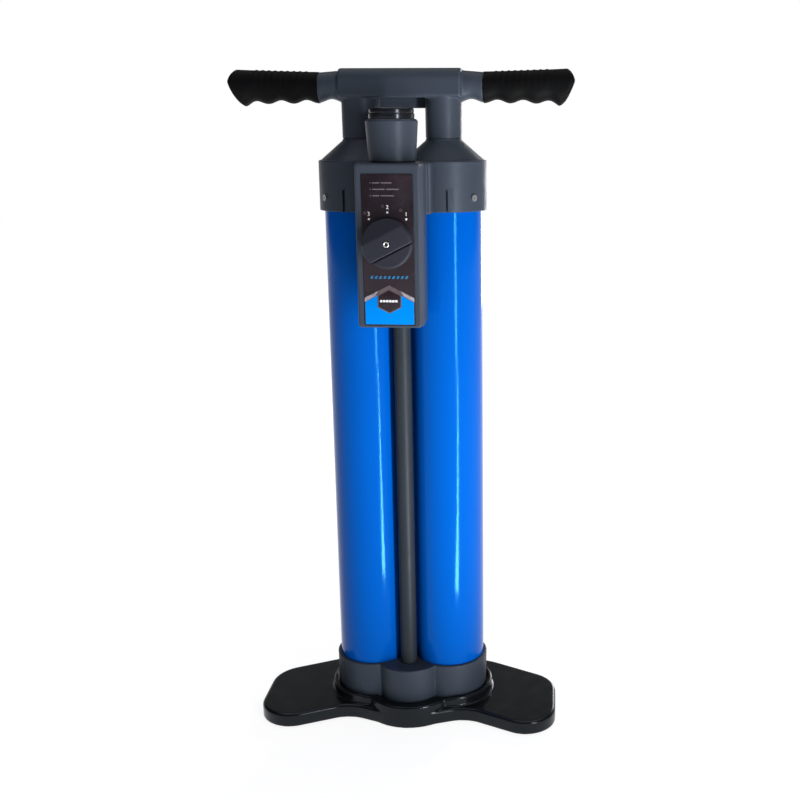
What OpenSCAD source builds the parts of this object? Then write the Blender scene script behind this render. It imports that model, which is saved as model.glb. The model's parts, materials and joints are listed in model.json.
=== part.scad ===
/* [Cylinders] */
// Distance between the axes of the two air cylinders
cylinder_spacing = 82; // [80:1:84]
// Outside radius of an air cylinder
cylinder_r = 37.5; // [36.5:0.5:37.5]
// Wall thickness of an air cylinder
cylinder_wall = 2.4; // [2:0.1:3]

/* [Foot] */
// Thickness of the two foot wings
wing_t = 15; // [12:1:16]
// Height of the foot hub that carries the manifold
hub_h = 23.5; // [22:0.5:25]
// Largest reach of a foot wing to the side
wing_reach = 158.5; // [150:0.5:165]

/* [Manifold] */
// Height of the rim of the base manifold above the floor
manifold_top = 59; // [58:1:62]
// Outside radius of a manifold cup and of its wall
manifold_r = 41; // [40.5:0.5:41]
// Outside radius of the transfer tube
transfer_r = 8.7; // [8.2:0.1:8.7]

/* [Head] */
// Height of the lower edge of the head
head_z0 = 538; // [536:1:540]
// Height of the head's shoulder, and of the top of the valve housing
head_z1 = 586; // [584:1:588]
// Height of the two necks that the rods come out of
neck_z = 606.5; // [606:0.5:606.5]
// Outside radius of a head collar
collar_r = 42.1; // [41.6:0.1:42.6]

/* [Valve housing] */
// Half of the width of the valve housing
box_hw = 30; // [29:0.5:31]
// Distance of the housing's front face from the cylinder plane
box_front = 102.4; // [101:0.2:104]
// Height of the housing's lower edge
box_z0 = 436.5; // [430:0.5:440]
// Height of the selector's axis
knob_z = 515; // [512:1:518]
// Radius of the selector knob
knob_r = 22.9; // [21:0.1:23]

/* [Outlet] */
// Distance of the outlet's axis from the cylinder plane
outlet_y = 66.9; // [66:0.1:68]
// Outside radius of the outlet turret
turret_r = 24.2; // [23.5:0.1:24.5]
// Radius of the bore that takes the hose connector
socket_r = 16; // [15:0.5:16.5]
// Height of the top of the socket ring
socket_top = 634.5; // [633:0.5:636]

/* [Handle] */
// Half of the length of the whole handle
handle_hl = 168; // [160:1:172]
// Half of the length of the handle's middle casing
casing_hl = 59.5; // [58:0.5:61]
// Height of the top of the handle when it is pushed down
handle_top = 672.5; // [672:0.5:673]
// Radius of a piston rod
rod_r = 9; // [8:0.5:9]

/* [Hidden] */

$fn = 72;
cut = 0.5;                        // how far a cutting tool runs past the face it cuts
fit = 0.05;                       // radial clearance of a running or a pushed-together fit
cx = cylinder_spacing / 2;
bore_r = cylinder_r - cylinder_wall;
left = -1;
right = 1;

graphite = [0.22, 0.24, 0.29];
gloss_black = [0.06, 0.07, 0.08];
rubber_black = [0.05, 0.05, 0.05];
tube_blue = [0.02, 0.33, 0.85];
steel = [0.75, 0.76, 0.78];
brass_tone = [0.80, 0.67, 0.36];
label_tone = [0.16, 0.11, 0.15];

// Foot
wing_r = 37;                      // radius of the two round corners of a wing's tip
wing_cx = wing_reach - wing_r;
wing_back_y = -4;
wing_front_y = -33;
hub_r = 46.6;                     // radius of the hub's upper edge round a cylinder's axis
hub_draft = 1.2;                  // how much wider the hub is at the floor
hub_gap = 2.6;                    // width of the recess between the hub's wall and the manifold
hub_floor = 3;
hub_floor_top = 19;
lobe_y = -15;                     // centre of the hub's front lobe
lobe_top_r = 50.5;
lobe_draft = 2.7;
ridge_r = 2.2;                    // half-round bead on the hub's edge
ridge_path_r = 44.2;
cavity_r = 30;                    // moulding hollows under the hub
cavity_z1 = hub_floor_top - hub_floor;
wing_pocket_r = 26;

// Base manifold, its valves and screws
gasket_t = 1.2;
manifold_z0 = hub_floor_top + gasket_t;
cup_floor = 36;
manifold_lobe_y = -18.3;
manifold_lobe_r = 36;
transfer_y = -29;
duct_top = 26;
intake_pos = [12, 12];            // from the cup's axis, outwards and backwards
delivery_pos = [-14, -14];
intake_r = 6.5;
pocket_r = 9.5;
pocket_h = 5;
disc_t = 2;
disc_gap = 0.3;                   // a disc rests this far above its seat
base_screw_pos = [[22, -11], [-9.5, 23.5], [2, -25]];
delivery_seat_z = 30;
transfer_z0 = 41;

// Cylinders and head
cylinder_z0 = cup_floor;
cylinder_z1 = head_z0 + 31;
seal_z = 48;                      // height of the base O-rings
head_seal_z = head_z0 + 22;
ring_r = 0.88;                    // section radius of the large O-rings
small_ring_r = 0.75;              // and of the transfer tube's
neck_r = 17.5;
boss_r = 16.5;                    // the bushing's boss inside the head
boss_z0 = head_z0 + 30;
bushing_r = 13;
bushing_z0 = neck_z - 22;
rod_seal_h = 6;
retainer_h = 4;
head_screw_z = head_z0 + 13;
head_screw_a = 47.5;
slot_a = [-15, 8.5];              // direction of the left and of the right collar's slot
slot_w = 2.4;
slot_h = 26;
slot_floor_r = cylinder_r + 1;
block_hw = 30;
block_y = 43;
transfer_z1 = head_z0 + 20;
vent_r = 1.6;                     // air holes in the back of the cones
vent_y = 25;
passage_r = 7;                    // the way from the transfer tube into the valve housing
passage_z = transfer_z1 + 12;

// Valve housing
box_wall = 3;
box_back = 62;
shoulder_hw = 35;
label_t = 0.6;
label_hw = 23.4;
label_z0 = 439.5;
label_z1 = 576.5;
back_cover_t = 2.4;
cover_z0 = box_z0 + box_wall + 0.1;
cover_z1 = head_z0 - 2.1;
housing_back = block_y + gasket_t;
shaft_r = 4;
stator_y = 86;
rotor_y = 94;
rotor_r = 17;
port_ring_r = 10;
port_r = 3.2;
knob_rest_a = 27;                 // direction of the pointer, up from the right

// Outlet
turret_z1 = 624.5;
turret_draft = 2.2;               // how much wider the turret is at its top
seat_r = 8;
turret_floor = 6;
turret_z0 = head_z1 + 1;
spigot_r = 19.5;
collar_ring_r = 21.3;
outlet_seat_z = turret_z0 + turret_floor;

// Handle and pistons
handle_z0 = neck_z + 0.5;
casing_z0 = 645.3;
casing_hd = 18.5;
web_hd = 4;
casing_round = 11;
web_z0 = 635.5;
sleeve_top_r = 17.9;
sleeve_low_r = 17.6;
axis_z = 657.5;                   // height of the handle's core tube
neck_tube_r = 14;
grip_x0 = 80;
grip_low_z = 642;
core_r = 11;
finger_pitch = 25;
bump_h = 3.4;
bump_r = 22;
pin_r = 2.5;
pin_z = 626;
piston_z0 = 41;
piston_h = 20;
piston_r = bore_r - 0.4;
rod_z0 = piston_z0 + piston_h;
stud_r = 5;
rod_bore_r = 7.4;
groove_r = 29;                    // the seal's groove in a piston
groove_z0 = piston_z0 + 8;
groove_z1 = piston_z0 + 14;

module at_cylinder(side) { translate([side * cx, 0, 0]) children(); }
module both() { for (side = [left, right]) at_cylinder(side) children(); }

// A round hole or pin along Z
module upright(r, z0, z1) { translate([0, 0, z0]) cylinder(r = r, h = z1 - z0); }
module tube(r_out, r_in, z0, z1) {
    difference() {
        upright(r_out, z0, z1);
        upright(r_in, z0 - cut, z1 + cut);
    }
}
module torus(major, minor, z) {
    translate([0, 0, z]) rotate_extrude() translate([major, 0]) circle(r = minor, $fn = 24);
}
// A cylinder along Y from the nearer to the farther distance in front of the cylinder plane
module forward(r, d0, d1) { translate([0, -d0, 0]) rotate([90, 0, 0]) cylinder(r = r, h = d1 - d0); }
// A box that is centred on X = 0
module slab(hw, y0, y1, z0, z1) { translate([-hw, y0, z0]) cube([2 * hw, y1 - y0, z1 - z0]); }

// ---- Foot ----
module wing_outline(side) {
    mirror([side < 0 ? 1 : 0, 0]) {
        translate([wing_cx, wing_back_y]) circle(r = wing_r);
        translate([wing_cx, wing_front_y]) circle(r = wing_r);
        polygon([
            [0, 62], [66, 62], [82, 58.5], [wing_cx + 18.1, wing_back_y + 32.3],
            [wing_reach, wing_back_y], [wing_reach, wing_front_y],
            [wing_cx - 15.7, wing_front_y - 33.5], [78.3, -53.6], [70.5, -50.9], [63, -50],
            [55, -50.6], [47.4, -52.4], [22, -61.5], [0, -50]
        ]);
    }
}
module hub_solid() {
    both() cylinder(r1 = hub_r + hub_draft, r2 = hub_r, h = hub_h);
    translate([0, lobe_y, 0]) cylinder(r1 = lobe_top_r + lobe_draft, r2 = lobe_top_r, h = hub_h);
    slab(cx, -30, 40, 0, hub_h);
}
module hub_ridge(side) {
    mirror([side < 0 ? 1 : 0, 0, 0]) translate([cx, 0, hub_h - 0.6])
        rotate([0, 0, -62]) rotate_extrude(angle = 100)
            translate([ridge_path_r, 0]) circle(r = ridge_r, $fn = 24);
}
module manifold_outline_cut(clear) {
    both() upright(manifold_r + clear, hub_floor_top, hub_h + 10);
    translate([0, manifold_lobe_y, 0]) upright(manifold_lobe_r + clear, hub_floor_top, hub_h + 10);
    slab(18, -36, 36, hub_floor_top, hub_h + 10);
}
module foot_base() {
    color(gloss_black) difference() {
        union() {
            linear_extrude(wing_t) union() { wing_outline(left); wing_outline(right); }
            hub_solid();
            for (side = [left, right]) hub_ridge(side);
        }
        manifold_outline_cut(hub_gap);
        // hollows that keep the moulding's wall even, with a web left under the middle
        both() upright(cavity_r, -cut, cavity_z1);
        for (side = [left, right], y = [wing_back_y, wing_front_y])
            translate([side * wing_cx, y, 0]) upright(wing_pocket_r, -cut, wing_t - 4);
        // air reaches the intakes through notches in the back edge
        for (side = [left, right]) translate([side * cx - 12, 25, -cut]) cube([24, 50, 5 + cut]);
        for (side = [left, right]) at_cylinder(side) {
            intake_hole(side, -cut, hub_h);
            for (p = base_screw_pos) translate([side * p[0], p[1], 0]) upright(2.2, -cut, hub_h);
        }
    }
}
module intake_hole(side, z0, z1) {
    translate([side * intake_pos[0], intake_pos[1], 0]) upright(intake_r, z0, z1);
}
module foot_screws() {
    color(steel) for (side = [left, right], p = base_screw_pos)
        translate([side * (cx + p[0]), p[1], 0]) difference() {
            union() {
                upright(2, cavity_z1 - cut, manifold_z0 + 12);
                upright(4, cavity_z1 - 3, cavity_z1);
            }
            translate([-2.6, -0.5, cavity_z1 - 3 - cut]) cube([5.2, 1, 1.5 + cut]);
            translate([-0.5, -2.6, cavity_z1 - 3 - cut]) cube([1, 5.2, 1.5 + cut]);
        }
}

// ---- Base manifold ----
module manifold_mass(z0, z1) {
    both() upright(manifold_r, z0, z1);
    translate([0, manifold_lobe_y, 0]) upright(manifold_lobe_r, z0, z1);
    slab(14, -30, 26, z0, z1);
}
module base_gasket() {
    color(rubber_black) difference() {
        manifold_mass(hub_floor_top, manifold_z0);
        for (side = [left, right]) at_cylinder(side) {
            intake_hole(side, hub_floor_top - cut, manifold_z0 + cut);
            for (p = base_screw_pos)
                translate([side * p[0], p[1], 0]) upright(2.05, hub_floor_top - cut, manifold_z0 + cut);
        }
    }
}
module base_manifold() {
    color(graphite) difference() {
        manifold_mass(manifold_z0, manifold_top);
        for (side = [left, right]) at_cylinder(side) {
            upright(cylinder_r + fit, cup_floor, manifold_top + cut);
            torus(cylinder_r + fit + ring_r, ring_r + 0.02, seal_z);
            intake_hole(side, manifold_z0 - cut, cup_floor);
            translate([side * intake_pos[0], intake_pos[1], 0])
                upright(pocket_r, cup_floor - pocket_h, cup_floor + cut);
            translate([side * delivery_pos[0], delivery_pos[1], 0])
                upright(6, manifold_z0 + 1, cup_floor + cut);
            for (p = base_screw_pos)
                translate([side * p[0], p[1], 0]) upright(2.05, manifold_z0 - cut, manifold_z0 + 13);
        }
        // the duct from the two cups to the transfer tube
        slab(cx - 14, -20, -12, manifold_z0 + 1, duct_top);
        slab(7, transfer_y - 6, -14, manifold_z0 + 1, duct_top);
        translate([0, transfer_y, 0]) {
            upright(intake_r, duct_top - 1, delivery_seat_z + cut);
            upright(transfer_r + fit, delivery_seat_z, manifold_top + cut);
            torus(transfer_r + fit + small_ring_r, small_ring_r + 0.02, manifold_top - 5);
        }
    }
}
module base_seal(side) {
    color(rubber_black) at_cylinder(side) torus(cylinder_r + fit + ring_r, ring_r, seal_z);
}
module left_base_seal() { base_seal(left); }
module right_base_seal() { base_seal(right); }

// A ring with a cross bar that stops a valve disc
module keeper(r, z0, h) {
    difference() {
        upright(r, z0, z0 + h);
        difference() {
            upright(r - 1.8, z0 - cut, z0 + h + cut);
            slab(1.2, -r, r, z0 - 2 * cut, z0 + h + 2 * cut);
        }
    }
}
module intake_keeper(side) {
    color(graphite) at_cylinder(side) translate([side * intake_pos[0], intake_pos[1], 0])
        keeper(pocket_r, cup_floor - 0.5, 1.5);
}
module left_intake_keeper() { intake_keeper(left); }
module right_intake_keeper() { intake_keeper(right); }
module delivery_keeper() {
    color(graphite) translate([0, transfer_y, 0]) keeper(transfer_r, transfer_z0 - 2.5, 2.5);
}
module valve_disc(r, z0) {
    difference() {
        upright(r, z0, z0 + disc_t);
        torus(r * 0.55, 0.4, z0 + disc_t);
    }
}
module intake_disc(side) {
    color(rubber_black) at_cylinder(side) translate([side * intake_pos[0], intake_pos[1], 0])
        valve_disc(pocket_r - 0.9, cup_floor - pocket_h + disc_gap);
}
module left_intake_disc() { intake_disc(left); }
module right_intake_disc() { intake_disc(right); }
module delivery_disc() {
    color(rubber_black) translate([0, transfer_y, 0]) valve_disc(7.9, delivery_seat_z + disc_gap);
}

// ---- Cylinders and transfer tube ----
module air_cylinder(side) {
    color(tube_blue) at_cylinder(side) difference() {
        tube(cylinder_r, bore_r, cylinder_z0, cylinder_z1);
        for (a = [head_screw_a, 180 - head_screw_a])
            rotate([0, 0, side * a]) translate([0, 0, head_screw_z]) forward(2.05, bore_r - 3, cylinder_r + 2);
    }
}
module left_cylinder() { air_cylinder(left); }
module right_cylinder() { air_cylinder(right); }
module transfer_tube() {
    color(graphite) translate([0, transfer_y, 0]) tube(transfer_r, transfer_r - 1.6, transfer_z0, transfer_z1);
}
module transfer_tube_seals() {
    color(rubber_black) translate([0, transfer_y, 0])
        for (z = [manifold_top - 5, head_z0 + 6]) torus(transfer_r + fit + small_ring_r, small_ring_r, z);
}

// ---- Head ----
module collar_outside() {
    upright(collar_r, head_z0, head_z1 - 1.5);
    translate([0, 0, head_z1 - 1.5]) cylinder(r1 = collar_r, r2 = collar_r - 1.2, h = 1.5);
    translate([0, 0, head_z1]) cylinder(r1 = collar_r - 1.2, r2 = neck_r, h = neck_z - head_z1 - 1.5);
    upright(neck_r, neck_z - 1.5, neck_z);
}
module collar_inside() {
    upright(cylinder_r + fit, head_z0 - cut, cylinder_z1);
    upright(bore_r, head_z0 - cut, head_z1 - 3);
    translate([0, 0, head_z1 - 3]) cylinder(r1 = bore_r, r2 = neck_r, h = 14);
}
module head_cap() {
    color(graphite) difference() {
        union() {
            difference() {
                union() {
                    both() collar_outside();
                    slab(block_hw, -block_y, 30, head_z0, head_z1);
                }
                both() collar_inside();
            }
            both() upright(boss_r, boss_z0, neck_z - 2);
        }
        both() {
            upright(bushing_r + fit, boss_z0 - cut, neck_z + cut);
            torus(cylinder_r + fit + ring_r, ring_r + 0.02, head_seal_z);
        }
        for (side = [left, right]) at_cylinder(side) {
            for (a = [head_screw_a, 180 - head_screw_a])
                rotate([0, 0, side * a]) translate([0, 0, head_screw_z]) forward(2.05, 34, 50);
            rotate([0, 0, slot_a[side < 0 ? 0 : 1]]) translate([-slot_w / 2, -50, head_z0 - cut])
                cube([slot_w, 50 - slot_floor_r, slot_h + cut]);
            // holes of the roof's intake valve
            for (a = [-24, 0, 24]) rotate([0, 0, a]) translate([0, vent_y, 0])
                upright(vent_r, head_z1 - 6, neck_z);
        }
        // transfer tube socket and the passage into the valve housing
        translate([0, transfer_y, 0]) {
            upright(transfer_r + fit, head_z0 - cut, transfer_z1);
            upright(transfer_r - 1.6, head_z0, head_z1 - 6);
            torus(transfer_r + fit + small_ring_r, small_ring_r + 0.02, head_z0 + 6);
        }
        translate([0, 0, passage_z]) forward(passage_r, -transfer_y, block_y + cut);
    }
}
module head_screws() {
    color(steel) for (side = [left, right]) at_cylinder(side)
        for (a = [head_screw_a, 180 - head_screw_a])
            rotate([0, 0, side * a]) translate([0, 0, head_screw_z]) difference() {
                union() {
                    forward(2, bore_r + 0.5, collar_r + 1);
                    forward(3.1, collar_r + 0.05, collar_r + 1.6);
                }
                for (turn = [0, 90]) rotate([0, turn, 0])
                    translate([-1.9, -collar_r - 1.6 - cut, -0.4]) cube([3.8, 1.2 + cut, 0.8]);
            }
}
module head_seal(side) {
    color(rubber_black) at_cylinder(side) torus(cylinder_r + fit + ring_r, ring_r, head_seal_z);
}
module left_head_seal() { head_seal(left); }
module right_head_seal() { head_seal(right); }
module rod_bushing(side) {
    color(brass_tone) at_cylinder(side) tube(bushing_r, rod_r + fit, bushing_z0, neck_z - 0.3);
}
module left_rod_bushing() { rod_bushing(left); }
module right_rod_bushing() { rod_bushing(right); }
module rod_seal(side) {
    color(rubber_black) at_cylinder(side) difference() {
        tube(bushing_r, rod_r + fit, bushing_z0 - rod_seal_h, bushing_z0);
        torus(rod_r + 2, 0.9, bushing_z0 - rod_seal_h);
    }
}
module left_rod_seal() { rod_seal(left); }
module right_rod_seal() { rod_seal(right); }
module seal_retainers() {
    color(steel) both() tube(bushing_r, rod_r + 0.6,
                             bushing_z0 - rod_seal_h - retainer_h, bushing_z0 - rod_seal_h);
}
// A rubber flap under the roof, held by its stem, that lets air into the upper chamber
module head_valve(side) {
    color(rubber_black) at_cylinder(side) translate([0, vent_y, 0]) {
        upright(vent_r - fit, head_z1 - 12, head_z1 + 14);
        upright(7.5, head_z1 - 13.5, head_z1 - 12);
    }
}
module left_head_valve() { head_valve(left); }
module right_head_valve() { head_valve(right); }

// ---- Valve housing ----
module control_box() {
    color(graphite) difference() {
        union() {
            slab(box_hw, -box_front, -box_back, box_z0, head_z1);
            slab(shoulder_hw, -box_back - cut, -housing_back, head_z0, head_z1);
        }
        slab(box_hw - box_wall, box_wall - box_front, cut - box_back, box_z0 + box_wall, head_z0 - 2);
        slab(box_hw - box_wall, box_wall - box_front, -box_back - 2, box_z0 + box_wall, head_z1 - box_wall);
        slab(box_hw - box_wall, -box_back - 4, -housing_back - box_wall, head_z0 + 4, head_z1 - box_wall);
        translate([0, 0, passage_z]) forward(passage_r, housing_back - cut, box_back);
        translate([0, 0, knob_z]) forward(shaft_r + fit, box_front - 8, box_front + cut);
        translate([0, -outlet_y, 0]) upright(seat_r, head_z1 - 5, head_z1 + cut);
    }
}
module box_gasket() {
    color(rubber_black) difference() {
        slab(28, -housing_back, -block_y, head_z0 + 3, head_z1 - 3);
        translate([0, 0, passage_z]) forward(passage_r, block_y - cut, housing_back + cut);
    }
}
module cover_screw_places() {
    for (x = [-21, 21], z = [cover_z0 + 6, cover_z1 - 6]) translate([x, 0, z]) children();
}
module box_back_cover() {
    color(graphite) difference() {
        slab(box_hw - box_wall - 0.1, -box_back - back_cover_t, -box_back, cover_z0, cover_z1);
        cover_screw_places() forward(1.6, box_back - cut, box_back + back_cover_t + cut);
    }
}
module cover_screws() {
    color(steel) cover_screw_places() difference() {
        union() {
            forward(1.5, box_back - 0.5, box_back + 8);
            forward(2.8, box_back - 1.6, box_back);
        }
        for (turn = [0, 90]) rotate([0, turn, 0])
            translate([-1.7, 0.4 - box_back, -0.35]) cube([3.4, 1.6, 0.7]);
    }
}
module label_plate() {
    color(label_tone) difference() {
        slab(label_hw, -box_front - label_t, -box_front, label_z0, label_z1);
        translate([0, 0, knob_z]) forward(shaft_r + 1, box_front - cut, box_front + label_t + cut);
    }
}
module selector_stator() {
    color(graphite) translate([0, 0, knob_z]) difference() {
        translate([0, 0, -knob_z]) slab(box_hw - box_wall, -stator_y - 4, -stator_y, knob_z - 20, head_z0 - 3);
        forward(shaft_r + fit, stator_y - cut, stator_y + 4 + cut);
        for (a = [0, 120, 240]) rotate([0, a, 0])
            translate([0, 0, port_ring_r]) forward(port_r, stator_y - cut, stator_y + 4 + cut);
    }
}
module shaft_seal() {
    color(rubber_black) translate([0, box_wall - box_front + 1, knob_z]) rotate([90, 0, 0])
        difference() {
            cylinder(r = 7, h = 1);
            translate([0, 0, -cut]) cylinder(r = shaft_r + fit, h = 1 + 2 * cut);
        }
}
module outlet_turret() {
    color(graphite) translate([0, -outlet_y, 0]) difference() {
        union() {
            translate([0, 0, turret_z0])
                cylinder(r1 = turret_r - turret_draft, r2 = turret_r, h = turret_z1 - turret_z0 - 1);
            upright(turret_r - 1, turret_z1 - 1, turret_z1);
        }
        upright(seat_r, turret_z0 - cut, outlet_seat_z + cut);
        upright(14, outlet_seat_z, turret_z1);
        upright(spigot_r + fit, outlet_seat_z + 16, turret_z1 + cut);
    }
}
module outlet_socket_ring() {
    color(rubber_black) translate([0, -outlet_y, 0]) difference() {
        union() {
            upright(spigot_r, outlet_seat_z + 16, turret_z1);
            upright(collar_ring_r, turret_z1, socket_top - 1.5);
            translate([0, 0, socket_top - 1.5]) cylinder(r1 = collar_ring_r, r2 = collar_ring_r - 1.2, h = 1.5);
        }
        upright(socket_r, outlet_seat_z, socket_top + cut);
        // entry notches for the two lugs of a hose connector
        for (turn = [0, 180]) rotate([0, 0, turn])
            translate([socket_r - 1, -3, turret_z1 - 4]) cube([3, 6, socket_top - turret_z1 + 5]);
    }
}
module turret_gasket() {
    color(rubber_black) translate([0, -outlet_y, 0]) tube(turret_r - 3, seat_r, head_z1, turret_z0);
}
module outlet_valve_keeper() {
    color(graphite) translate([0, -outlet_y, 0]) keeper(14, outlet_seat_z + 6, 3);
}
module outlet_disc() {
    color(rubber_black) translate([0, -outlet_y, 0]) valve_disc(11, outlet_seat_z + disc_gap);
}

// ---- Selector ----
module selector_knob() {
    base_d = box_front + label_t + 0.3;
    color(graphite) translate([0, 0, knob_z]) difference() {
        union() {
            forward(knob_r, base_d, base_d + 7);
            intersection() {
                forward(knob_r - 0.6, base_d + 6, box_front + 14);
                rotate([0, -knob_rest_a, 0]) translate([-knob_r, -box_front - 14, -7])
                    cube([2 * knob_r, 9, 14]);
            }
        }
        forward(shaft_r + fit, base_d - cut, base_d + 9);
        forward(1.6, base_d, box_front + 14 + cut);
        forward(3.4, box_front + 12, box_front + 14 + cut);
    }
}
module selector_screw() {
    color(steel) translate([0, 0, knob_z]) difference() {
        union() {
            forward(1.5, box_front + 4, box_front + 13);
            forward(3.2, box_front + 12, box_front + 13.8);
        }
        for (turn = [45, 135]) rotate([0, turn, 0])
            translate([-2, -box_front - 14, -0.4]) cube([4, 1.2, 0.8]);
    }
}
module selector_shaft() {
    color(steel) translate([0, 0, knob_z]) difference() {
        forward(shaft_r, stator_y - 6, box_front + label_t + 9.2);
        forward(1.5, box_front + 3.9, box_front + 12);
    }
}
module selector_rotor() {
    color(brass_tone) translate([0, 0, knob_z]) difference() {
        forward(rotor_r, stator_y + 4.3, rotor_y + 2);
        forward(shaft_r, stator_y, rotor_y + 3);
        for (a = [-20, 0, 20]) rotate([0, a, 0])
            translate([0, 0, port_ring_r]) forward(port_r, stator_y, rotor_y - 1);
    }
}
module shaft_clip() {
    color(steel) translate([0, 0, knob_z]) difference() {
        forward(6, stator_y - 1.6, stator_y - 0.4);
        forward(shaft_r, stator_y - 3, stator_y);
    }
}

// ---- Handle ----
module casing_profile() {
    // drawn as height against depth; the lower corners are tighter than the upper ones
    union() {
        translate([casing_z0 + 3, -casing_hd])
            square([handle_top - casing_z0 - 3 - casing_round, 2 * casing_hd]);
        translate([casing_z0, 3 - casing_hd])
            square([handle_top - casing_z0 - casing_round, 2 * casing_hd - 6]);
        translate([handle_top - casing_round - 1, casing_round - casing_hd])
            square([casing_round + 1, 2 * (casing_hd - casing_round)]);
        for (s = [-1, 1]) {
            translate([casing_z0 + 3, s * (casing_hd - 3)]) circle(r = 3, $fn = 32);
            translate([handle_top - casing_round, s * (casing_hd - casing_round)]) circle(r = casing_round);
        }
    }
}
// Lay a profile of height against depth along X from -h to +h
module along_x(h) {
    rotate([0, -90, 0]) translate([0, 0, -h]) linear_extrude(2 * h) children();
}
module handle_body() {
    color(graphite) difference() {
        union() {
            along_x(casing_hl) casing_profile();
            along_x(grip_x0) translate([axis_z, 0]) circle(r = neck_tube_r);
            slab(cx, -web_hd, web_hd, web_z0, casing_z0 + 2);
            both() translate([0, 0, handle_z0])
                cylinder(r1 = sleeve_low_r, r2 = sleeve_top_r, h = casing_z0 + 1 - handle_z0);
        }
        both() upright(rod_r + fit, handle_z0 - cut, casing_z0);
        along_x(grip_x0 + cut) translate([axis_z, 0]) circle(r = core_r + fit);
        both() translate([0, 0, pin_z]) forward(pin_r + fit, -sleeve_top_r - 1, 12);
    }
}
module grip_side_profile() {
    // the hand's side view: a straight back above, finger bumps below, a rounded end
    polygon([
        [grip_x0, grip_low_z], [handle_hl - 8, grip_low_z], [handle_hl - 2, grip_low_z + 4],
        [handle_hl, grip_low_z + 10], [handle_hl, handle_top - 11], [handle_hl - 2.5, handle_top - 4],
        [handle_hl - 7, handle_top - 1], [grip_x0, handle_top - 1]
    ]);
    for (i = [0:3]) translate([grip_x0 + 1 + i * finger_pitch, grip_low_z - bump_h + bump_r])
        intersection() {
            circle(r = bump_r);
            translate([i > 0 ? -finger_pitch / 2 : -1, -bump_r])
                square([finger_pitch / 2 + (i > 0 ? finger_pitch / 2 : 1), bump_r + 4]);
        }
}
module grip_section() {
    // the hand's end view: an upright oval of two circles, as height against depth
    translate([-axis_z, 0]) circle(r = 14.5);
    translate([-(axis_z - 4), 0]) circle(r = 15.8);
}
module grip(side) {
    color(rubber_black) mirror([side < 0 ? 1 : 0, 0, 0]) difference() {
        intersection() {
            translate([0, casing_hd + 1, 0]) rotate([90, 0, 0])
                linear_extrude(2 * casing_hd + 2) grip_side_profile();
            translate([grip_x0, 0, 0]) rotate([0, 90, 0]) linear_extrude(handle_hl - grip_x0) grip_section();
        }
        translate([grip_x0 - cut, 0, axis_z]) rotate([0, 90, 0]) cylinder(r = core_r + fit, h = 78);
    }
}
module left_grip() { grip(left); }
module right_grip() { grip(right); }
module handle_core_tube() {
    color(steel) along_x(grip_x0 + 76) translate([axis_z, 0]) difference() {
        circle(r = core_r);
        circle(r = core_r - 1.6);
    }
}
module rod(side) {
    color(steel) at_cylinder(side) difference() {
        union() {
            upright(rod_r, rod_z0, casing_z0 - 0.5);
            upright(stud_r, piston_z0 + 0.6, rod_z0 + 1);
        }
        upright(rod_bore_r, rod_z0 + 12, casing_z0);
        translate([0, 0, pin_z]) forward(pin_r + fit, -20, 12);
    }
}
module left_rod() { rod(left); }
module right_rod() { rod(right); }
module rod_pins() {
    color(steel) both() translate([0, 0, pin_z]) forward(pin_r, -16.4, 11.5);
}

// ---- Pistons ----
module piston(side) {
    color(graphite) at_cylinder(side) difference() {
        upright(piston_r, piston_z0, rod_z0);
        upright(stud_r + fit, piston_z0 - cut, rod_z0 + cut);
        upright(16, piston_z0 - cut, piston_z0 + 7);
        difference() {
            upright(piston_r + 1, groove_z0, groove_z1);
            upright(groove_r, groove_z0 - cut, groove_z1 + cut);
        }
    }
}
module left_piston() { piston(left); }
module right_piston() { piston(right); }
module piston_seal(side) {
    color(rubber_black) at_cylinder(side) difference() {
        tube(bore_r - fit, groove_r + fit, groove_z0, groove_z1);
        for (z = [groove_z0, groove_z1]) torus(groove_r + 2.5, 1.1, z);
    }
}
module left_piston_seal() { piston_seal(left); }
module right_piston_seal() { piston_seal(right); }
module piston_washers() { color(steel) both() tube(12, stud_r + fit, piston_z0 + 5.4, piston_z0 + 7); }
module piston_nuts() {
    color(steel) both() difference() {
        translate([0, 0, piston_z0 + 0.8]) cylinder(r = 8.6, h = 4.6, $fn = 6);
        upright(stud_r + fit, piston_z0, piston_z0 + 6);
    }
}
module bump_stops() { color(rubber_black) both() tube(14, rod_r + fit, rod_z0, rod_z0 + 6); }

foot_base();
foot_screws();
base_gasket();
base_manifold();
left_base_seal();
right_base_seal();
left_intake_keeper();
right_intake_keeper();
delivery_keeper();
left_cylinder();
right_cylinder();
transfer_tube();
transfer_tube_seals();
head_cap();
head_screws();
left_head_seal();
right_head_seal();
left_rod_bushing();
right_rod_bushing();
left_rod_seal();
right_rod_seal();
seal_retainers();
left_head_valve();
right_head_valve();
control_box();
box_gasket();
box_back_cover();
cover_screws();
label_plate();
selector_stator();
shaft_seal();
outlet_turret();
outlet_socket_ring();
turret_gasket();
outlet_valve_keeper();
handle_body();
left_grip();
right_grip();
handle_core_tube();
left_rod();
right_rod();
rod_pins();
left_piston();
right_piston();
left_piston_seal();
right_piston_seal();
piston_washers();
piston_nuts();
bump_stops();
selector_knob();
selector_screw();
selector_shaft();
selector_rotor();
shaft_clip();
left_intake_disc();
right_intake_disc();
delivery_disc();
outlet_disc();
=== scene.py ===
"""Looks of the two-cylinder hand pump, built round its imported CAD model.

Lengths in this script are millimetres in the CAD frame (+X right, -Y front, +Z up); make() turns them
into metres. Pieces that need a better surface than the CAD gives are rebuilt here and replace their node.
"""
import json
import math

import bmesh
import bpy
import numpy as np
from mathutils import Matrix, Vector


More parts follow.
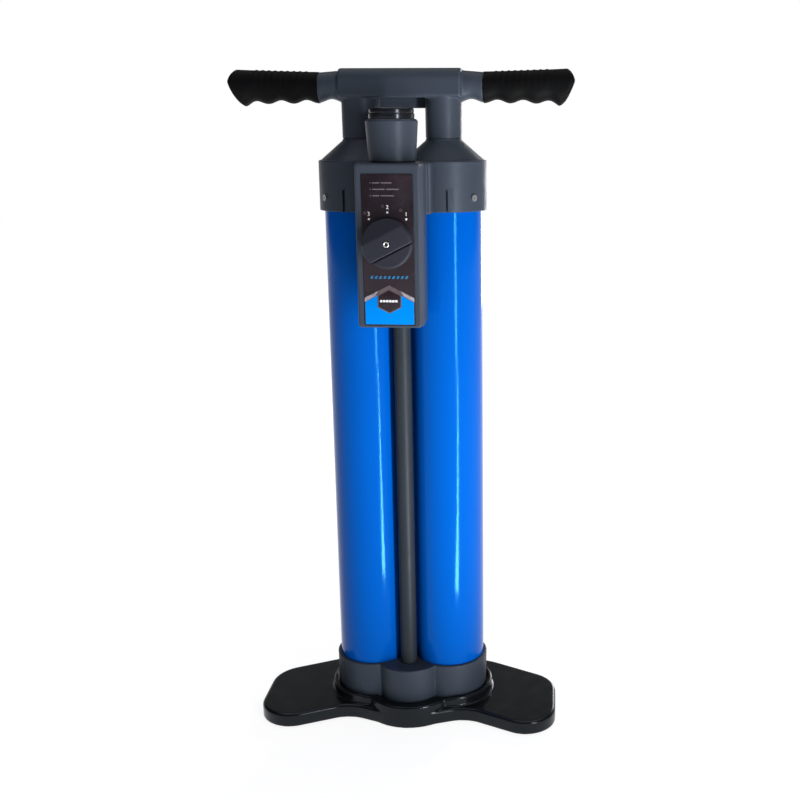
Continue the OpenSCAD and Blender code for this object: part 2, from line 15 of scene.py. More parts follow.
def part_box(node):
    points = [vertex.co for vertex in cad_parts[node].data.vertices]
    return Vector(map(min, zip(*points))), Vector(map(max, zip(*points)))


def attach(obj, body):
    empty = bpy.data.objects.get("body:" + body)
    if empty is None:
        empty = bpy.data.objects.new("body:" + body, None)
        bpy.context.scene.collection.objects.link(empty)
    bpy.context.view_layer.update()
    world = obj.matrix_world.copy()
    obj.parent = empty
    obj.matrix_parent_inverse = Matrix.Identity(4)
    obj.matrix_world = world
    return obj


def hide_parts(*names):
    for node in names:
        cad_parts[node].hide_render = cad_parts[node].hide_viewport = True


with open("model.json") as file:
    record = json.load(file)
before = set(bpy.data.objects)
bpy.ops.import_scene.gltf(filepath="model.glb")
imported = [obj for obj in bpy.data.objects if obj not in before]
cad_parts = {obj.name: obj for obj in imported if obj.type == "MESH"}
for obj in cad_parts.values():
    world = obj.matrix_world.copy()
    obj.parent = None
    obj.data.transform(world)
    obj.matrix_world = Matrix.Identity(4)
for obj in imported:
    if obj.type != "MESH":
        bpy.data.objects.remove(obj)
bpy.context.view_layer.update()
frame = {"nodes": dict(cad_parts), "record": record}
MM = 0.001
LEFT, RIGHT = -1, 1
SIDES = {LEFT: "left", RIGHT: "right"}


def node_box(name):
    """Lowest and highest corner of a CAD node, in millimetres."""
    low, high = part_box(name)
    return np.array(low) / MM, np.array(high) / MM


# ---------------------------------------------------------------- sizes, from the frame
tube_low, tube_high = node_box("right_cylinder")
AXIS_X = (tube_low[0] + tube_high[0]) / 2
TUBE_R = (tube_high[0] - tube_low[0]) / 2
BORE_R = TUBE_R - 2.4
FIT = 0.25  # the play round a tube in its well
TUBE_Z0, TUBE_Z1 = tube_low[2], tube_high[2]

foot_high = node_box("foot_base")[1]
FOOT_X, FOOT_BACK = foot_high[0], foot_high[1]
WING_T, WING_END_R = 15.0, 37
HUB_H = 23.5
HUB_FLOOR_Z = 20.2
HUB_R, HUB_LOBE_Y, HUB_LOBE_R = 46.6, -15.0, 50.5

cup_high = node_box("base_manifold")[1]
CUP_R = cup_high[0] - AXIS_X
RIM_Z = cup_high[2]
CUP_Z0, CUP_FLOOR_Z = 19.6, 36.0
CUP_LOBE_Y, CUP_LOBE_R = -18.3, 36.0
intake_low, intake_high = node_box("right_intake_disc")
INTAKE_X, INTAKE_Y = (intake_low[0] + intake_high[0]) / 2, (intake_low[1] + intake_high[1]) / 2
INTAKE_SEAT_Z = intake_low[2] - 0.3
DELIVERY_SEAT_Z = node_box("delivery_disc")[0][2] - 0.3
DUCT_Z0, DUCT_Z1 = 21.2, 26.0

pipe_low, pipe_high = node_box("transfer_tube")
PIPE_R = (pipe_high[0] - pipe_low[0]) / 2
PIPE_Y = (pipe_low[1] + pipe_high[1]) / 2

head_low, head_high = node_box("head_cap")
HEAD_Z0, NECK_Z = head_low[2], head_high[2]
COLLAR_R = head_high[0] - AXIS_X
NECK_R = 17.5
SLOT_A = {LEFT: -15.0, RIGHT: 8.5}

case_low, case_high = node_box("control_box")
BOX_Z0, SHOULDER_Z = case_low[2], case_high[2]
BOX_FRONT, BOX_REAR = case_low[1], case_high[1]
SHOULDER_HW = case_high[0]
BOX_HW = 31.0
BOX_STEP_Y = -62.0

turret_low, turret_high = node_box("outlet_turret")
OUTLET_Y = (turret_low[1] + turret_high[1]) / 2
TURRET_R = turret_high[0]
TURRET_Z0, TURRET_Z1 = turret_low[2], turret_high[2]
SOCKET_TOP = node_box("outlet_socket_ring")[1][2]

label_low, label_high = node_box("label_plate")
LABEL_Y = label_low[1]

knob_low, knob_high = node_box("selector_knob")
KNOB_Z = (knob_low[2] + knob_high[2]) / 2
KNOB_R = knob_high[0]
KNOB_BACK, KNOB_FRONT = knob_high[1], knob_low[1]
POINTER_A = math.radians(27)

handle_low, handle_high = node_box("handle_body")
SLEEVE_Z0, HANDLE_TOP = handle_low[2], handle_high[2]
CASING_HL = 59.5
CASING_Z0 = 645.3
CASING_HD = handle_high[1]
SLEEVE_LOW_R, SLEEVE_TOP_R = 17.6, 17.9
WEB_Z0, WEB_Y0, WEB_Y1 = 635.5, 5.0, 13.0
GRIP_X0, GRIP_X1 = handle_high[0], node_box("right_grip")[1][0]


# ---------------------------------------------------------------- mesh helpers
def make(name, points, faces, smooth=True):
    """A new mesh object from points in millimetres."""
    mesh = bpy.data.meshes.new(name)
    mesh.from_pydata([tuple(float(c) * MM for c in p) for p in points], [], [tuple(f) for f in faces])
    mesh.polygons.foreach_set("use_smooth", [smooth] * len(mesh.polygons))
    clean = bmesh.new()
    clean.from_mesh(mesh)
    bmesh.ops.remove_doubles(clean, verts=clean.verts, dist=1e-7)
    bmesh.ops.recalc_face_normals(clean, faces=clean.faces)
    clean.to_mesh(mesh)
    clean.free()
    obj = bpy.data.objects.new(name, mesh)
    bpy.context.collection.objects.link(obj)
    return obj


def rounded(corners, closed=True, step=math.radians(9)):
    """A polyline of corners (x, y, radius) with each corner turned into an arc."""
    out = []
    count = len(corners)
    for i, (x, y, radius) in enumerate(corners):
        p = np.array([x, y], float)
        if radius == 0 or (not closed and i in (0, count - 1)):
            out.append(p)
            continue
        a = np.array(corners[i - 1][:2], float) - p
        b = np.array(corners[(i + 1) % count][:2], float) - p
        len_a, len_b = np.linalg.norm(a), np.linalg.norm(b)
        a, b = a / len_a, b / len_b
        half = math.acos(max(-1.0, min(1.0, float(a @ b)))) / 2
        if half > math.pi / 2 - 1e-3:
            out.append(p)
            continue
        t = min(radius / math.tan(half), 0.49 * min(len_a, len_b))
        r = t * math.tan(half)
        centre = p + (a + b) / np.linalg.norm(a + b) * r / math.sin(half)
        first, last = p + a * t - centre, p + b * t - centre
        sweep = math.atan2(first[0] * last[1] - first[1] * last[0], float(first @ last))
        pieces = max(2, math.ceil(abs(sweep) / step))
        for k in range(pieces + 1):
            c, s = math.cos(sweep * k / pieces), math.sin(sweep * k / pieces)
            out.append(centre + np.array([c * first[0] - s * first[1], s * first[0] + c * first[1]]))
    return out


def fine(profile, longest=6.0, margin=0.4):
    """The same profile with its straight runs split, so that rounded edges shade only their own strip."""
    out = [np.array(profile[0], float)]
    for point in profile[1:]:
        start, run = out[-1], np.array(point, float) - out[-1]
        length = float(np.linalg.norm(run))
        if length > 2:
            inner = np.linspace(margin, length - margin, max(2, math.ceil(length / longest)))
            out += [start + run * d / length for d in inner]
        out.append(start + run)
    return out


def rectangle(x0, x1, y0, y1, radius):
    """A rectangle with its corners rounded."""
    return rounded([(x0, y0, radius), (x1, y0, radius), (x1, y1, radius), (x0, y1, radius)])


def even(points, spacing):
    """A closed polyline resampled to even steps."""
    pts = np.array(points + [points[0]])
    along = np.concatenate([[0], np.cumsum(np.linalg.norm(np.diff(pts, axis=0), axis=1))])
    count = max(12, round(along[-1] / spacing))
    at = np.linspace(0, along[-1], count, endpoint=False)
    return np.stack([np.interp(at, along, pts[:, k]) for k in (0, 1)], axis=1)


def inset(loop, depth):
    """A closed counter-clockwise loop moved inwards by depth."""
    along = np.roll(loop, -1, axis=0) - np.roll(loop, 1, axis=0)
    along /= np.linalg.norm(along, axis=1)[:, None]
    inward = np.stack([-along[:, 1], along[:, 0]], axis=1)
    area = np.sum(loop[:, 0] * np.roll(loop[:, 1], -1) - np.roll(loop[:, 0], -1) * loop[:, 1])
    return loop + inward * depth * (1 if area > 0 else -1)


def loft(name, loops):
    """A skin over closed loops of equal length, with a cap at each end."""
    points = np.concatenate(loops)
    n = len(loops[0])
    faces = []
    for k in range(len(loops) - 1):
        for i in range(n):
            j = (i + 1) % n
            faces.append((k * n + i, k * n + j, (k + 1) * n + j, (k + 1) * n + i))
    faces.append(tuple(range(n)))
    faces.append(tuple((len(loops) - 1) * n + i for i in range(n)))
    return make(name, points, faces)


def edge_steps(radius, count=4):
    """(inset, drop) pairs that round an edge, from the wall to the flat."""
    angles = [math.pi / 2 * k / count for k in range(count + 1)]
    return [(radius * (1 - math.cos(a)), radius * (1 - math.sin(a))) for a in angles]


def prism(name, outline, z0, z1, top=1.0, bottom=0.0, spacing=1.5):
    """An upright slab with that outline and with rounded upper and lower edges."""
    base = even(outline, spacing)
    loops = []

    def add(depth, z):
        loops.append(np.column_stack([inset(base, depth), np.full(len(base), z)]))

    if bottom:
        for depth, drop in reversed(edge_steps(bottom)):
            add(depth, z0 + drop)
    else:
        add(0, z0)
    if top:
        for depth, drop in edge_steps(top):
            add(depth, z1 - drop)
    else:
        add(0, z1)
    return loft(name, loops)


def lathe(name, profile, x=0.0, y=0.0, segments=96, closed=False):
    """A profile of (radius, z) turned about an upright axis; closed joins its last point to its first."""
    angles = [2 * math.pi * k / segments for k in range(segments)]
    points = [(x + r * math.cos(a), y + r * math.sin(a), z) for r, z in profile for a in angles]
    rows = len(profile)
    faces = []
    for k in range(rows if closed else rows - 1):
        k2 = (k + 1) % rows
        for i in range(segments):
            j = (i + 1) % segments
            faces.append((k * segments + i, k * segments + j, k2 * segments + j, k2 * segments + i))
    return make(name, points, faces)


def upright(name, radius, z0, z1, x=0.0, y=0.0, segments=64):
    """A plain cylinder, used to cut or to fill."""
    return lathe(name, [(0, z0), (radius, z0), (radius, z1), (0, z1)], x, y, segments)


def block(name, low, high):
    """A plain box, used to cut or to fill."""
    x, y, z = zip(low, high)
    points = [(x[i], y[j], z[k]) for i in (0, 1) for j in (0, 1) for k in (0, 1)]
    faces = [(0, 1, 3, 2), (4, 6, 7, 5), (0, 4, 5, 1), (2, 3, 7, 6), (0, 2, 6, 4), (1, 5, 7, 3)]
    return make(name, points, faces, smooth=False)


def turn(obj, angle):
    """Turns an object's points about the upright axis through the origin, by an angle in radians."""
    obj.data.transform(Matrix.Rotation(angle, 4, "Z"))
    return obj


def shift(obj, x=0.0, y=0.0, z=0.0):
    """Moves an object's points, in millimetres."""
    obj.data.transform(Matrix.Translation(Vector((x, y, z)) * MM))
    return obj


def face_front(obj):
    """Lays a slab that was drawn in (x, height) and z so that its z points to the front."""
    obj.data.transform(Matrix(((1, 0, 0, 0), (0, 0, -1, 0), (0, 1, 0, 0), (0, 0, 0, 1))))
    return obj


def face_right(obj):
    """Lays a slab that was drawn in (depth, height) and z so that its z points to the right."""
    obj.data.transform(Matrix(((0, 0, 1, 0), (1, 0, 0, 0), (0, 1, 0, 0), (0, 0, 0, 1))))
    return obj


def join(name, objs):
    """One object from several."""
    whole = bmesh.new()
    for obj in objs:
        whole.from_mesh(obj.data)
        bpy.data.objects.remove(obj)
    mesh = bpy.data.meshes.new(name)
    whole.to_mesh(mesh)
    whole.free()
    joined = bpy.data.objects.new(name, mesh)
    bpy.context.collection.objects.link(joined)
    return joined


def settle(obj):
    """Applies an object's modifiers to its mesh."""
    graph = bpy.context.evaluated_depsgraph_get()
    mesh = bpy.data.meshes.new_from_object(obj.evaluated_get(graph))
    obj.modifiers.clear()
    obj.data = mesh
    return obj


def boolean(obj, others, operation):
    """Cuts the others from obj, or adds them to it."""
    for other in others:
        step = obj.modifiers.new("bool", "BOOLEAN")
        step.operation = operation
        step.solver = "EXACT"
        step.object = other
        settle(obj)
        bpy.data.objects.remove(other)
    return obj


def mould(obj, voxel, passes):
    """Melts a set of overlapping closed shells into one skin whose edges are softly rounded."""
    remesh = obj.modifiers.new("remesh", "REMESH")
    remesh.mode = "VOXEL"
    remesh.voxel_size = voxel * MM
    remesh.use_smooth_shade = True
    soften = obj.modifiers.new("soften", "SMOOTH")
    soften.iterations = passes
    soften.factor = 0.5
    return settle(obj)


def shade(obj, degrees=38):
    """Smooth shading that keeps edges sharper than the given angle."""
    obj.data.polygons.foreach_set("use_smooth", [True] * len(obj.data.polygons))
    obj.data.set_sharp_from_angle(angle=math.radians(degrees))
    return obj


# ---------------------------------------------------------------- materials
def map_range(tree, value, low, high, out_low, out_high, smooth=False):
    """A node output that runs from out_low to out_high while value goes from low to high."""
    node = tree.nodes.new("ShaderNodeMapRange")
    node.interpolation_type = "SMOOTHSTEP" if smooth else "LINEAR"
    for socket, number in (("From Min", low), ("From Max", high), ("To Min", out_low), ("To Max", out_high)):
        node.inputs[socket].default_value = number
    tree.links.new(value, node.inputs["Value"])
    return node.outputs["Result"]


# what a material looks like unless it says otherwise: vary is how far its colour clouds go either way,
# cloud, grain and wave_scale are noise scales, scuff is how much of the scuffs' own colour shows
PLAIN_LOOK = {
    "metal": 0.0, "specular": 0.5, "tint": (1, 1, 1), "stretch": (1, 1, 1), "vary": 0.12, "cloud": 14,
    "scuff": 0.1, "rough_spread": 0.06, "bump": 0.08, "grain": 900, "wave": 0.05, "wave_scale": 22,
}


def material(name, colour, rough, **own_look):
    """A moulded or metal surface: colour clouds, roughness clouds, grain bump and fine scuffs."""
    look = {"scuff_colour": tuple(min(1.0, c * 1.6 + 0.02) for c in colour), **PLAIN_LOOK, **own_look}
    mat = bpy.data.materials.new(name)
    mat.use_nodes = True
    tree = mat.node_tree
    nodes, links = tree.nodes, tree.links
    shader = nodes["Principled BSDF"]
    shader.inputs["Metallic"].default_value = look["metal"]
    shader.inputs["Specular IOR Level"].default_value = look["specular"]
    shader.inputs["Specular Tint"].default_value = (*look["tint"], 1)
    stretch = nodes.new("ShaderNodeMapping")
    stretch.inputs["Scale"].default_value = look["stretch"]
    links.new(nodes.new("ShaderNodeTexCoord").outputs["Object"], stretch.inputs["Vector"])

    def noise(scale, detail=4.0, rough_detail=0.55):
        node = nodes.new("ShaderNodeTexNoise")
        node.inputs["Scale"].default_value = scale
        node.inputs["Detail"].default_value = detail
        node.inputs["Roughness"].default_value = rough_detail
        links.new(stretch.outputs["Vector"], node.inputs["Vector"])
        return node.outputs["Fac"]

    def mix(factor, first, second):
        node = nodes.new("ShaderNodeMix")
        node.data_type = "RGBA"
        links.new(factor, node.inputs["Factor"])
        for socket, value in (("A", first), ("B", second)):
            if isinstance(value, tuple):
                node.inputs[socket].default_value = (*value, 1)
            else:
                links.new(value, node.inputs[socket])
        return node.outputs["Result"]

    dark = tuple(c * (1 - look["vary"]) for c in colour)
    light = tuple(min(1.0, c * (1 + look["vary"])) for c in colour)
    clouds = mix(map_range(tree, noise(look["cloud"]), 0.3, 0.7, 0, 1), dark, light)
    scuff = map_range(tree, noise(160, 8, 0.7), 0.62, 0.75, 0, look["scuff"])
    links.new(mix(scuff, clouds, look["scuff_colour"]), shader.inputs["Base Color"])
    spread = look["rough_spread"]
    rough_out = map_range(tree, noise(60, 6), 0.3, 0.7, rough - spread, rough + spread)
    links.new(rough_out, shader.inputs["Roughness"])
    bump = nodes.new("ShaderNodeBump")
    bump.inputs["Strength"].default_value = look["bump"]
    bump.inputs["Distance"].default_value = 0.0004
    links.new(noise(look["grain"], 3), bump.inputs["Height"])
    wave = nodes.new("ShaderNodeBump")
    wave.inputs["Strength"].default_value = look["wave"]
    wave.inputs["Distance"].default_value = 0.004
    links.new(noise(look["wave_scale"], 2), wave.inputs["Height"])
    links.new(bump.outputs["Normal"], wave.inputs["Normal"])
    links.new(wave.outputs["Normal"], shader.inputs["Normal"])
    return mat


# a cool tint for the reflections in the dark plastics
COOL = (0.80, 0.87, 1.0)
GREY = material("grey_plastic", (0.030, 0.038, 0.053), 0.43, grain=1400, bump=0.10, vary=0.10, wave=0.05,
                specular=0.19, tint=COOL)
# the grey plastic made darker for the transfer tube: painted shade for the tube that stands between the two
# cylinders
PIPE_SHADED = material("pipe_grey_painted_shade", (0.019, 0.024, 0.030), 0.43, grain=1400, bump=0.10, vary=0.10, wave=0.05,
                specular=0.14, tint=COOL)
KNOB = material("knob_plastic", (0.017, 0.018, 0.025), 0.40, grain=1400, bump=0.12, vary=0.10,
                specular=0.16, tint=COOL)
BLUE = material("blue_tube", (0.0, 0.070, 0.37), 0.11, grain=500, bump=0.02, vary=0.06, wave=0.04,
                wave_scale=8, cloud=6, scuff=0.05, stretch=(1, 1, 0.25), rough_spread=0.03, specular=0.16,
                tint=(0.12, 0.72, 1.0), scuff_colour=(0.002, 0.15, 0.62))
BLACK = material("black_plastic", (0.0050, 0.0066, 0.0074), 0.20, grain=700, bump=0.04, wave=0.06,
                 wave_scale=14, scuff=0.12, rough_spread=0.05, specular=0.24, tint=COOL)
RUBBER = material("grip_rubber", (0.0026, 0.0027, 0.0031), 0.55, grain=1100, bump=0.35, vary=0.2,
                  scuff=0.12, wave=0.05, specular=0.05)
SEAL = material("seal_rubber", (0.006, 0.006, 0.006), 0.6, grain=900, bump=0.2, specular=0.2)
STEEL = material("steel", (0.62, 0.63, 0.65), 0.28, metal=1.0, grain=900, bump=0.06, scuff=0.25,
                 scuff_colour=(0.35, 0.35, 0.36))
CHROME = material("rod_chrome", (0.66, 0.67, 0.69), 0.14, metal=1.0, stretch=(1, 1, 0.05), grain=400,
                  bump=0.03, scuff=0.15, scuff_colour=(0.45, 0.45, 0.46), rough_spread=0.04)
BEARING = material("bearing_plastic", (0.42, 0.34, 0.18), 0.45, grain=900, bump=0.06)
LABEL = material("label_film", (0.015, 0.010, 0.014), 0.24, grain=1600, bump=0.02, vary=0.35, cloud=30,
                 scuff=0.04, specular=0.2)
LABEL_BLUE = material("label_blue", (0.0, 0.16, 0.56), 0.30, grain=1600, bump=0.02, vary=0.06,
                      specular=0.15, tint=(0.1, 0.7, 1.0))
LABEL_BROWN = material("label_brown", (0.070, 0.054, 0.060), 0.32, grain=1800, bump=0.04, vary=0.25,
                       cloud=90, specular=0.2)
LABEL_SILVER = material("label_silver", (0.21, 0.19, 0.215), 0.30, grain=1800, bump=0.05, vary=0.45,
                        cloud=120, specular=0.3)
LABEL_WHITE = material("label_white", (0.62, 0.62, 0.64), 0.4, grain=1600, bump=0.02, vary=0.05)
LABEL_SOFT = material("label_soft", (0.10, 0.085, 0.11), 0.4, grain=1600, bump=0.02, vary=0.2,
                      specular=0.2)
LABEL_FAINT = material("label_faint", (0.034, 0.024, 0.031), 0.4, grain=1600, bump=0.02, vary=0.2,
                       specular=0.2)
LABEL_CYAN = material("label_cyan", (0.010, 0.13, 0.28), 0.4, grain=1600, bump=0.02, vary=0.1,
                      specular=0.2)
SOCKET = material("socket_black", (0.006, 0.007, 0.009), 0.18, grain=800, bump=0.03, specular=0.35,
                  tint=COOL)


def finish_piece(obj, mat, body, slot, *nodes):
    """Gives a piece its material, its body and the CAD nodes that it stands for; its slot argument is not
    used.
    """
    obj.data.materials.clear()
    obj.data.materials.append(mat)
    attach(obj, body)
    if nodes:
        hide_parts(*nodes)
    return obj


# ---------------------------------------------------------------- camera, light and floor (metres)
def aim(obj, target):
    """Turns a camera or a lamp towards a point."""
    obj.rotation_mode = "QUATERNION"
    obj.rotation_quaternion = (target - obj.location).to_track_quat("-Z", "Y")


def build_camera():
    """The viewpoint: a little to the right of the pump and above its middle."""
    azimuth, distance, height = math.radians(8.2), 1.064, 0.6143
    camera = bpy.data.objects.new("camera", bpy.data.cameras.new("camera"))
    camera.location = (distance * math.sin(azimuth), -distance * math.cos(azimuth), height)
    aim(camera, Vector((0.0898, 0.0, 0.3513)))
    camera.data.sensor_width = 36
    camera.data.lens = 47.27
    camera.data.shift_x, camera.data.shift_y = -0.117, -0.0096
    bpy.context.collection.objects.link(camera)
    bpy.context.scene.camera = camera
    bpy.context.scene.view_settings.view_transform = "Standard"


def build_floor():
    """A pale floor that glows, more so far from the pump, so that it meets the studio without an edge."""
    reach = 6000  # millimetres, as make() takes them
    corners = [(-reach, -reach, 0), (reach, -reach, 0), (reach, reach, 0), (-reach, reach, 0)]
    floor = make("floor", corners, [(0, 1, 2, 3)])
    pale = material("floor", (0.32, 0.32, 0.325), 0.8, vary=0.01, bump=0.02, scuff=0.0, wave=0.0,
                    specular=0.05)
    floor.data.materials.append(pale)
    tree = pale.node_tree
    nodes, links = tree.nodes, tree.links
    away = nodes.new("ShaderNodeVectorMath")
    away.operation = "LENGTH"
    links.new(nodes.new("ShaderNodeTexCoord").outputs["Object"], away.inputs[0])
    glow = map_range(tree, away.outputs["Value"], 0.25, 1.4, 0.84, 0.97, smooth=True)
    nodes["Principled BSDF"].inputs["Emission Color"].default_value = (1, 1, 1, 1)
    links.new(glow, nodes["Principled BSDF"].inputs["Emission Strength"])


def build_world():
    """A studio that is white behind the pump, up to a little above eye level, and dim elsewhere."""
    world = bpy.data.worlds.new("world")
    world.use_nodes = True
    tree = world.node_tree
    nodes, links = tree.nodes, tree.links
    split = nodes.new("ShaderNodeSeparateXYZ")
    links.new(nodes.new("ShaderNodeTexCoord").outputs["Generated"], split.inputs[0])
    behind = map_range(tree, split.outputs["Y"], 0.35, 0.82, 0.06, 1.0, smooth=True)
    low = map_range(tree, split.outputs["Z"], 0.16, 0.45, 1.0, 0.22, smooth=True)
    product = nodes.new("ShaderNodeMath")
    product.operation = "MULTIPLY"
    links.new(behind, product.inputs[0])
    links.new(low, product.inputs[1])
    nodes["Background"].inputs["Color"].default_value = (1, 1, 1, 1)
    links.new(product.outputs["Value"], nodes["Background"].inputs["Strength"])
    bpy.context.scene.world = world


def add_lamp(name, place, across, up, power):
    """A soft box at a place, its size across and up in metres and its power in watts."""
    lamp = bpy.data.objects.new(name, bpy.data.lights.new(name, "AREA"))
    lamp.data.shape = "RECTANGLE"
    lamp.data.size, lamp.data.size_y = across, up
    lamp.data.energy = power
    lamp.location = place
    lamp.visible_camera = False
    bpy.context.collection.objects.link(lamp)
    return lamp


def build_lamps():
    """A narrow key from the front right, a window behind, a ceiling, and a strip on the floor."""
    middle = Vector((0, 0, 0.35))
    aim(add_lamp("key", (1.26, -1.62, 0.40), 0.20, 1.0, 24), middle)
    aim(add_lamp("window", (1.0, 2.5, 0.8), 0.5, 1.6, 24), middle)
    aim(add_lamp("top", (0.2, 0.0, 2.6), 3.0, 3.0, 36), middle)
    # the strip lies face up and puts the long highlights on the lower half of the tubes
    strip = add_lamp("low_strip", (0.70, -0.80, 0.012), 0.06, 1.5, 22)
    strip.rotation_euler = (math.pi, 0, math.radians(43))


# ---------------------------------------------------------------- foot
def foot_outline():
    """Seen from above: two wings swept to the front, joined behind the front lobe, and a straight back."""
    half = [
        (22, -61.5, 0), (63, -46.2, 38), (FOOT_X, -91.3, WING_END_R), (FOOT_X, 20.5, WING_END_R),
        (77.2, FOOT_BACK, 70),
    ]
    return rounded(half + [(-x, y, r) for x, y, r in reversed(half)], step=math.radians(5))


def bead(name, x, radius, thick, z, first, last, turns=48):
    """A round bead along part of a circle about an upright axis at x."""
    ring = [2 * math.pi * k / 20 for k in range(20)]
    loops = []
    for step in range(turns + 1):
        a = math.radians(first + (last - first) * step / turns)
        end = min(step, turns - step)
        r = thick * min(1.0, 0.45 + 0.18 * end)
        loop = []
        for b in ring:
            out = radius + r * math.cos(b)
            loop.append((x + out * math.cos(a), out * math.sin(a), z + r * math.sin(b)))
        loops.append(np.array(loop))
    return loft(name, loops)


def build_foot():
    """Plate, two hubs with a bead round each, a lobe between them, moulded into one."""
    parts = [prism("plate", foot_outline(), 0, WING_T, top=2.8, bottom=1.0, spacing=2.2)]
    for side in SIDES:
        profile = rounded([(0, 0.2, 0), (HUB_R + 1.2, 0.2, 0), (HUB_R, HUB_H, 1.8), (40, HUB_H, 0),
                           (0, HUB_H, 0)], closed=False)
        parts.append(lathe("hub", profile, side * AXIS_X, 0, 128))
        arc = (-86, 84) if side == RIGHT else (96, 266)
        parts.append(bead("bead", side * AXIS_X, 44.9, 2.2, HUB_H - 0.3, *arc))
    lobe = rounded([(0, 0.2, 0), (HUB_LOBE_R + 2.7, 0.2, 0), (HUB_LOBE_R, HUB_H, 2.0), (0, HUB_H, 0)],
                   closed=False)
    parts.append(lathe("lobe", lobe, 0, HUB_LOBE_Y, 160))
    parts.append(block("web", (-AXIS_X, -20, 0.2), (AXIS_X, 38, HUB_H - 1)))
    foot = join("foot", parts)
    mould(foot, 1.0, 6)
    # the seat of the manifold, and hollows and two notches underneath
    gap = 2.6
    tools = [upright("well", CUP_R + gap, HUB_FLOOR_Z, 40, side * AXIS_X, 0, 128) for side in SIDES]
    tools.append(upright("well", CUP_LOBE_R + gap, HUB_FLOOR_Z, 40, 0, CUP_LOBE_Y, 128))
    for side in SIDES:
        tools.append(upright("hollow", 30, -1, 16, side * AXIS_X, 0))
        tools += [upright("hollow", 26, -1, 11, side * (FOOT_X - WING_END_R), y) for y in (-4, -33)]
        tools.append(block("notch", (side * AXIS_X - 12, 25, -1), (side * AXIS_X + 12, 75, 5)))
    boolean(foot, tools, "DIFFERENCE")
    shade(foot, 50)
    finish_piece(foot, BLACK, "housing", "black_plastic", "foot_base")


# ---------------------------------------------------------------- base manifold
def build_manifold():
    """Two cups and a front lobe in one, with the wells of the tubes and the valve chambers."""
    def cup(name, radius, x, y):
        profile = rounded([(0, CUP_Z0, 0), (radius - 0.8, CUP_Z0, 0.5), (radius, RIM_Z, 0.7),
                           (radius - 6, RIM_Z, 0), (0, RIM_Z, 0)], closed=False)
        return lathe(name, profile, x, y, 160)

    parts = [cup("cup", CUP_R, side * AXIS_X, 0) for side in SIDES]
    parts.append(cup("lobe", CUP_LOBE_R, 0, CUP_LOBE_Y))
    parts.append(block("fill", (-14, -30, CUP_Z0), (14, 27, RIM_Z)))
    manifold = join("manifold", parts)
    mould(manifold, 0.8, 2)
    wells = [upright("well", TUBE_R + FIT, CUP_FLOOR_Z, 80, side * AXIS_X, 0, 160) for side in SIDES]
    wells.append(upright("well", PIPE_R + FIT, DELIVERY_SEAT_Z, 80, 0, PIPE_Y, 64))
    # the pockets of the intake valves and the duct that joins the cups to the transfer tube
    wells.append(upright("seat", 6, DUCT_Z0 + 1, DELIVERY_SEAT_Z + 1, 0, PIPE_Y, 48))
    wells.append(block("duct", (14 - AXIS_X, -20, DUCT_Z0), (AXIS_X - 14, -12, DUCT_Z1)))
    wells.append(block("duct", (-7, PIPE_Y - 6, DUCT_Z0), (7, -14, DUCT_Z1)))
    for side in SIDES:
        x, y = side * INTAKE_X, INTAKE_Y
        wells.append(upright("pocket", 9.75, INTAKE_SEAT_Z, CUP_FLOOR_Z + 1, x, y, 48))
        wells.append(upright("hole", 6, 10, INTAKE_SEAT_Z + 1, x, y, 48))
        wells.append(upright("drop", 6, DUCT_Z0, CUP_FLOOR_Z + 1, side * (AXIS_X - 14), -14, 48))
    boolean(manifold, wells, "DIFFERENCE")
    shade(manifold, 50)
    finish_piece(manifold, GREY, "housing", "grey_plastic", "base_manifold")


# ---------------------------------------------------------------- tubes
def build_tubes():
    """The two air cylinders and the transfer tube."""
    def wall(bore_r, outer_r, z0, z1, edge):
        return rounded([(bore_r, z0, edge), (outer_r, z0, edge), (outer_r, z1, edge), (bore_r, z1, edge)])

    for side, word in SIDES.items():
        profile = wall(BORE_R, TUBE_R, TUBE_Z0, TUBE_Z1, 0.3)
        tube = lathe(f"{word}_blue_tube", profile, side * AXIS_X, 0, 192, closed=True)
        shade(tube)
        finish_piece(tube, BLUE, "housing", "blue_tube", f"{word}_cylinder")
    profile = wall(PIPE_R - 1.6, PIPE_R, pipe_low[2], pipe_high[2], 0.2)
    pipe = lathe("pipe", profile, 0, PIPE_Y, 96, closed=True)
    shade(pipe)
    # the transfer tube takes the darker grey, which is painted shade
    finish_piece(pipe, PIPE_SHADED, "housing", "grey_plastic", "transfer_tube")


